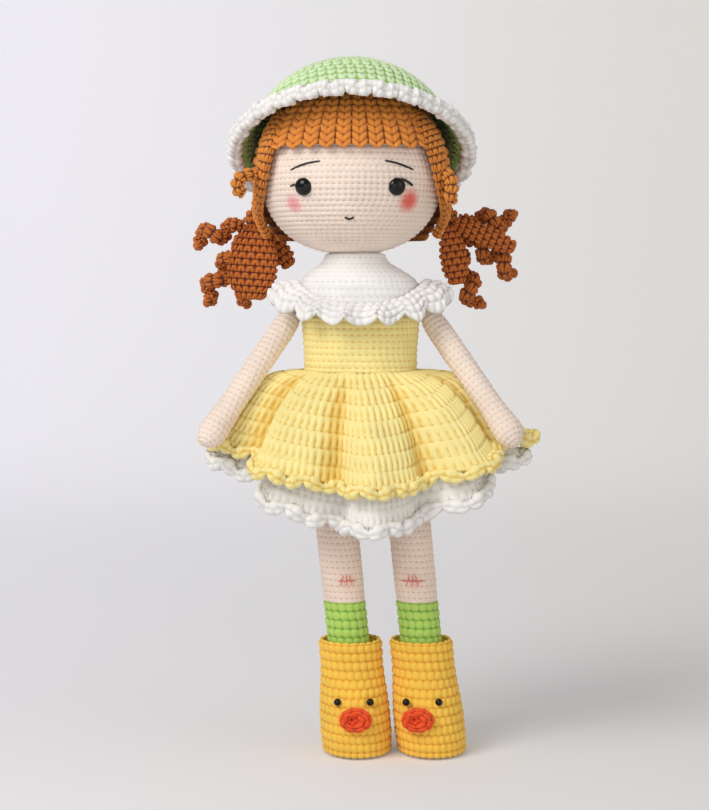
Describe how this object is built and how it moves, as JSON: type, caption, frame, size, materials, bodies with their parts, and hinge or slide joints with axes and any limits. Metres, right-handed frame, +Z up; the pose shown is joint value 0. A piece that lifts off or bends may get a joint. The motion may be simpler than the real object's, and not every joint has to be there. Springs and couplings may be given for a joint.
{
  "type": "amigurumi doll",
  "caption": "crocheted stuffed doll with curly pigtails, bucket hat, gathered dress over a petticoat and pull-off duck boots, standing",
  "frame": {"origin": "on the floor, under the middle of the doll's outline", "axes": "+Z up from the soles to the hat, -Y is where the face looks, +X is the doll's left"},
  "size_m": [0.1602, 0.1058, 0.3159],
  "materials": {
    "skin_yarn": "matte cotton yarn, single crochet",
    "hair_yarn": "matte cotton yarn, single crochet",
    "green_yarn": "matte cotton yarn, single crochet",
    "sock_yarn": "matte cotton yarn, single crochet",
    "white_yarn": "matte cotton yarn, single crochet",
    "yellow_yarn": "matte cotton yarn, single crochet",
    "boot_yarn": "matte cotton yarn, single crochet",
    "orange_yarn": "matte cotton yarn, single crochet",
    "black_plastic": "glossy moulded plastic"
  },
  "bodies": {
    "torso": {"bodice": "yellow_yarn", "hips": "skin_yarn", "neck": "white_yarn", "shoulders": "white_yarn", "collar_ruffle": "white_yarn", "skirt": "yellow_yarn", "skirt_edging": "yellow_yarn", "petticoat": "white_yarn", "petticoat_edging": "white_yarn"},
    "head": {"head": "skin_yarn", "eye_left": "black_plastic", "eye_right": "black_plastic", "eye_washer_left": "black_plastic", "eye_washer_right": "black_plastic", "fringe": "hair_yarn", "side_lock_left": "hair_yarn", "side_lock_right": "hair_yarn", "temple_curl_left": "hair_yarn", "temple_curl_right": "hair_yarn", "wig_cap": "hair_yarn"},
    "hat": {"hat": "green_yarn", "hat_edging": "white_yarn"},
    "pigtail_left": {"curl_left_1": "hair_yarn", "curl_left_2": "hair_yarn", "curl_left_3": "hair_yarn", "pigtail_knot_left": "hair_yarn", "strip_left_1": "hair_yarn", "strip_left_2": "hair_yarn"},
    "arm_left": {"arm_left": "skin_yarn"},
    "leg_left": {"leg_left": "skin_yarn", "sock_left": "sock_yarn"},
    "boot_left": {"boot_left": "boot_yarn", "sole_left": "boot_yarn", "beak_left": "orange_yarn", "duck_eye_inner_left": "black_plastic", "duck_eye_outer_left": "black_plastic"},
    "pigtail_right": {"curl_right_1": "hair_yarn", "curl_right_2": "hair_yarn", "curl_right_3": "hair_yarn", "pigtail_knot_right": "hair_yarn", "strip_right_1": "hair_yarn", "strip_right_2": "hair_yarn"},
    "arm_right": {"arm_right": "skin_yarn"},
    "leg_right": {"leg_right": "skin_yarn", "sock_right": "sock_yarn"},
    "boot_right": {"boot_right": "boot_yarn", "sole_right": "boot_yarn", "beak_right": "orange_yarn", "duck_eye_inner_right": "black_plastic", "duck_eye_outer_right": "black_plastic"}
  },
  "joints": [
    {"name": "head_turn", "type": "hinge", "parent": "torso", "child": "head", "pos_m": [-0.00495, 0.00076, 0.2629], "axis": [0, 0, 1], "range_deg": [-55, 55]},
    {"name": "hat_lift_off", "type": "slide", "parent": "head", "child": "hat", "axis": [0, 0.4848, 0.8746], "range_m": [0, 0.06]},
    {"name": "pigtail_swing_left", "type": "hinge", "parent": "head", "child": "pigtail_left", "pos_m": [0.03906, 0.01695, 0.24348], "axis": [0, -1, 0], "range_deg": [0, 35]},
    {"name": "arm_swing_left", "type": "hinge", "parent": "torso", "child": "arm_left", "pos_m": [0.03215, 0.00076, 0.197], "axis": [-1, 0, 0], "range_deg": [0, 45]},
    {"name": "leg_swing_left", "type": "hinge", "parent": "torso", "child": "leg_left", "pos_m": [0.01735, 0.00076, 0.146], "axis": [-1, 0, 0], "range_deg": [-25, 25]},
    {"name": "boot_pull_left", "type": "slide", "parent": "leg_left", "child": "boot_left", "axis": [0.0995, 0, -0.995], "range_m": [0, 0.055]},
    {"name": "pigtail_swing_right", "type": "hinge", "parent": "head", "child": "pigtail_right", "pos_m": [-0.04896, 0.01695, 0.24348], "axis": [0, 1, 0], "range_deg": [0, 35]},
    {"name": "arm_swing_right", "type": "hinge", "parent": "torso", "child": "arm_right", "pos_m": [-0.03405, 0.00076, 0.197], "axis": [-1, 0, 0], "range_deg": [0, 45]},
    {"name": "leg_swing_right", "type": "hinge", "parent": "torso", "child": "leg_right", "pos_m": [-0.01605, 0.00076, 0.146], "axis": [-1, 0, 0], "range_deg": [-25, 25]},
    {"name": "boot_pull_right", "type": "slide", "parent": "leg_right", "child": "boot_right", "axis": [0.0995, 0, -0.995], "range_m": [0, 0.055]}
  ]
}
